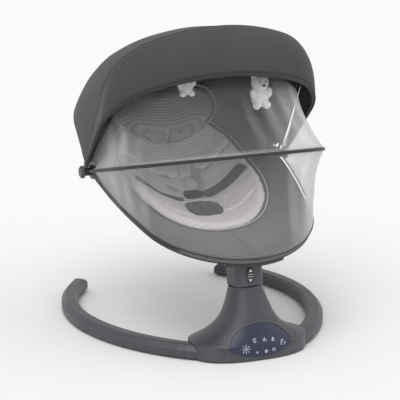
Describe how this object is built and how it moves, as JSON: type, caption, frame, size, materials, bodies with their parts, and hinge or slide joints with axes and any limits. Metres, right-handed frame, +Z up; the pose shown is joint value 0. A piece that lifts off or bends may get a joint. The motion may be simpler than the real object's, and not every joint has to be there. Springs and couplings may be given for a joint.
{
  "type": "baby swing",
  "caption": "Electric baby swing: C-shaped floor stand, pedestal with control panel, swivelling reclining sling seat, folding canopy, net hoop and hanging plush toys.",
  "frame": {"origin": "floor level at the centre of the outline seen from above", "axes": "+Z up, -Y towards the seat's foot end and the control panel, X across"},
  "size_m": [0.4954, 0.567, 0.5862],
  "materials": {
    "stand_plastic": "satin moulded dark grey",
    "dark_plastic": "satin black",
    "foot_rubber": "soft rubber",
    "steel": "bright steel",
    "cast_metal": "as cast",
    "bearing_plastic": "natural acetal",
    "copper": "enamelled copper winding",
    "panel_gloss": "glossy navy",
    "circuit_board": "green solder mask",
    "frame_paint": "dark powder coat",
    "sling_fabric": "knitted mesh",
    "pad_fabric": "padded knit",
    "pillow_fabric": "padded mesh",
    "webbing": "woven webbing",
    "canopy_fabric": "smooth woven canopy cloth",
    "net": "fine insect net",
    "plush": "short pile"
  },
  "bodies": {
    "stand": {"pedestal_shell": "stand_plastic", "base_plate": "dark_plastic", "base_screws": "steel", "rubber_feet": "foot_rubber", "arm_left": "stand_plastic", "arm_right": "stand_plastic", "arm_end_cap_left": "stand_plastic", "arm_end_cap_right": "stand_plastic", "control_panel": "panel_gloss", "circuit_board": "circuit_board", "speaker": "dark_plastic", "power_inlet": "dark_plastic", "bearing_carrier": "cast_metal", "upper_bearing": "bearing_plastic", "lower_bearing": "bearing_plastic", "drive_coil": "copper"},
    "neck": {"swing_shaft": "steel", "retaining_ring": "steel", "magnet_arm": "cast_metal", "drive_magnet": "steel", "neck_yoke": "cast_metal", "neck_front_shell": "stand_plastic", "neck_rear_shell": "stand_plastic", "recline_pin": "steel"},
    "button": {"recline_button": "dark_plastic"},
    "seat": {"seat_bracket": "frame_paint", "foot_tube": "frame_paint", "head_tube": "frame_paint", "hub_bracket_left": "stand_plastic", "hub_bracket_right": "stand_plastic", "hub_pin_left": "steel", "hub_pin_right": "steel", "hub_cap_left": "stand_plastic", "hub_cap_right": "stand_plastic", "seat_sling": "sling_fabric", "seat_pad": "pad_fabric", "head_pillow": "pillow_fabric", "crotch_pad": "pillow_fabric", "harness_buckle": "dark_plastic", "waist_strap_left": "webbing", "waist_strap_right": "webbing", "shoulder_strap_left": "webbing", "shoulder_strap_right": "webbing", "rear_canopy": "canopy_fabric"},
    "middle_bow": {"mid_bow": "frame_paint"},
    "front_bow": {"front_bow": "frame_paint", "front_canopy": "canopy_fabric", "upper_net": "net"},
    "hoop": {"net_hoop": "frame_paint", "lower_net": "net"},
    "left_toy": {"toy_left": "plush"},
    "right_toy": {"toy_right": "plush"}
  },
  "joints": [
    {"name": "seat_swing", "type": "hinge", "parent": "stand", "child": "neck", "pos_m": [0, -0.207, 0.123], "axis": [0, 0.1045, 0.9945], "range_deg": [-11, 11]},
    {"name": "recline", "type": "hinge", "parent": "neck", "child": "seat", "pos_m": [0, -0.216, 0.1525], "axis": [1, 0, 0], "range_deg": [0, 10]},
    {"name": "release_button", "type": "slide", "parent": "neck", "child": "button", "axis": [0, 1, 0], "range_m": [0, 0.0025], "stiffness_N_per_m": 400, "springref_m": -0.001},
    {"name": "canopy_fold", "type": "hinge", "parent": "seat", "child": "middle_bow", "pos_m": [0, 0.07, 0.295], "axis": [1, 0, 0], "range_deg": [-66, 0], "deforming": ["rear_canopy"]},
    {"name": "front_bow_fold", "type": "hinge", "parent": "middle_bow", "child": "front_bow", "pos_m": [0, 0.07, 0.295], "axis": [1, 0, 0], "range_deg": [-8, 0], "deforming": ["front_canopy"]},
    {"name": "net_hoop_lift", "type": "hinge", "parent": "front_bow", "child": "hoop", "pos_m": [0, 0.07, 0.295], "axis": [1, 0, 0], "range_deg": [-22, 0], "deforming": ["upper_net", "lower_net"]},
    {"name": "left_toy_sway", "type": "hinge", "parent": "middle_bow", "child": "left_toy", "pos_m": [-0.064, -0.08074, 0.56694], "axis": [1, 0, 0], "range_deg": [-12, 12]},
    {"name": "right_toy_sway", "type": "hinge", "parent": "middle_bow", "child": "right_toy", "pos_m": [0.088, -0.07807, 0.56212], "axis": [1, 0, 0], "range_deg": [-12, 12]}
  ]
}
